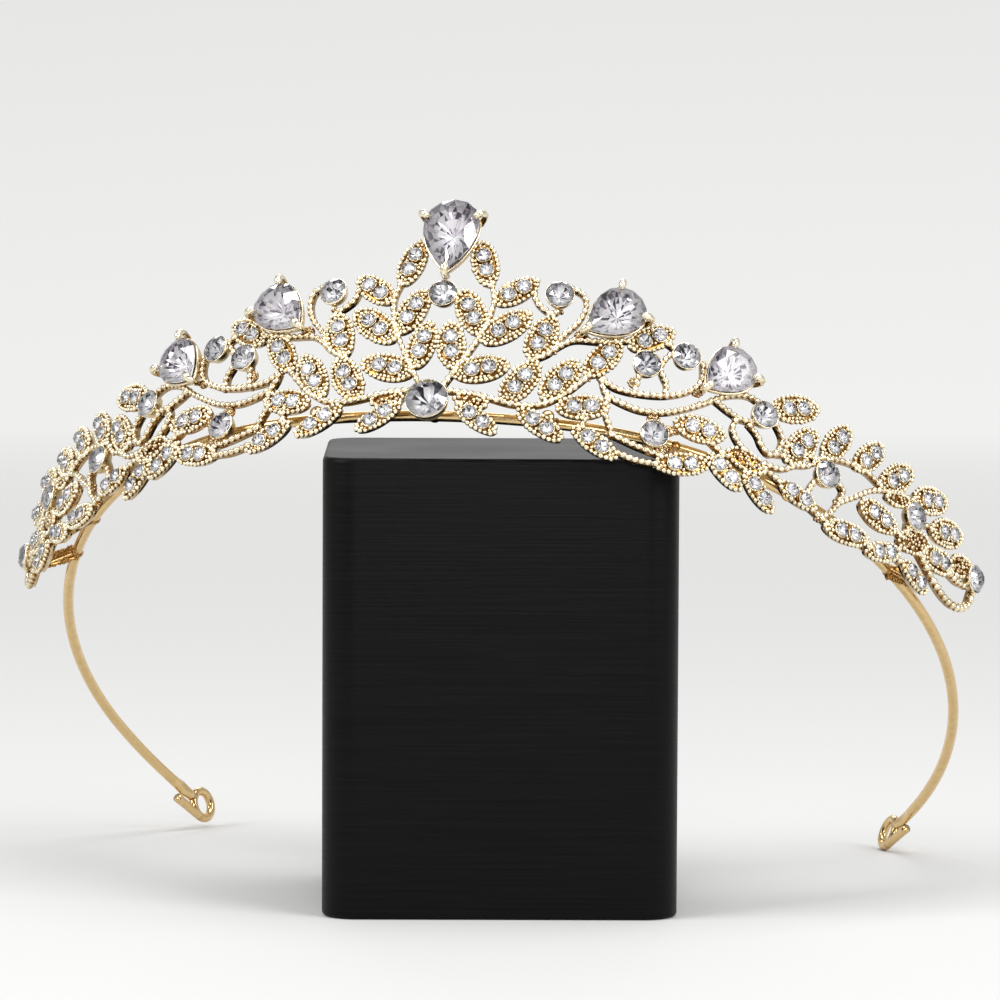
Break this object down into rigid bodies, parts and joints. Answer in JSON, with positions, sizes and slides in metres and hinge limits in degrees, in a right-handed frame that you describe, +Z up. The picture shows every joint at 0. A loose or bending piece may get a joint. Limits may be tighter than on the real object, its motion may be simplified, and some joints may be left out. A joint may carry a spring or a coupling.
{
  "type": "bridal crown on display block",
  "caption": "Pierced pale-gold bridal crown of leaves and vines with clear round and pear stones on a thin wire headband, leaning on a plain black display block.",
  "frame": {"origin": "middle of the bounding box on the floor", "axes": "+X towards the wearer's left, which is to the right when seen from the front; -Y towards the viewer in front; +Z up"},
  "size_m": [0.1484, 0.0928, 0.1028],
  "materials": {
    "gold_alloy": "polished",
    "black_block": "satin",
    "small_stone": "polished",
    "clear_stone": "polished",
    "pale_pear_stone": "polished"
  },
  "bodies": {
    "root": {"crown_frame": "gold_alloy", "display_block": "black_block", "leaf_stones_left": "small_stone", "leaf_stones_right": "small_stone", "middle_stone": "clear_stone", "upper_stone": "clear_stone", "pear_stone_top": "pale_pear_stone", "pear_stone_left_1": "pale_pear_stone", "pear_stone_left_2": "pale_pear_stone", "pear_stone_right_1": "pale_pear_stone", "pear_stone_right_2": "pale_pear_stone", "round_stone_left_1": "clear_stone", "round_stone_left_2": "clear_stone", "round_stone_left_3": "clear_stone", "round_stone_left_4": "clear_stone", "round_stone_left_5": "clear_stone", "round_stone_left_6": "clear_stone", "round_stone_left_7": "clear_stone", "round_stone_left_8": "clear_stone", "round_stone_right_1": "clear_stone", "round_stone_right_2": "clear_stone", "round_stone_right_3": "clear_stone", "round_stone_right_4": "clear_stone", "round_stone_right_5": "clear_stone", "round_stone_right_6": "clear_stone", "round_stone_right_7": "clear_stone", "round_stone_right_8": "clear_stone"}
  },
  "joints": []
}
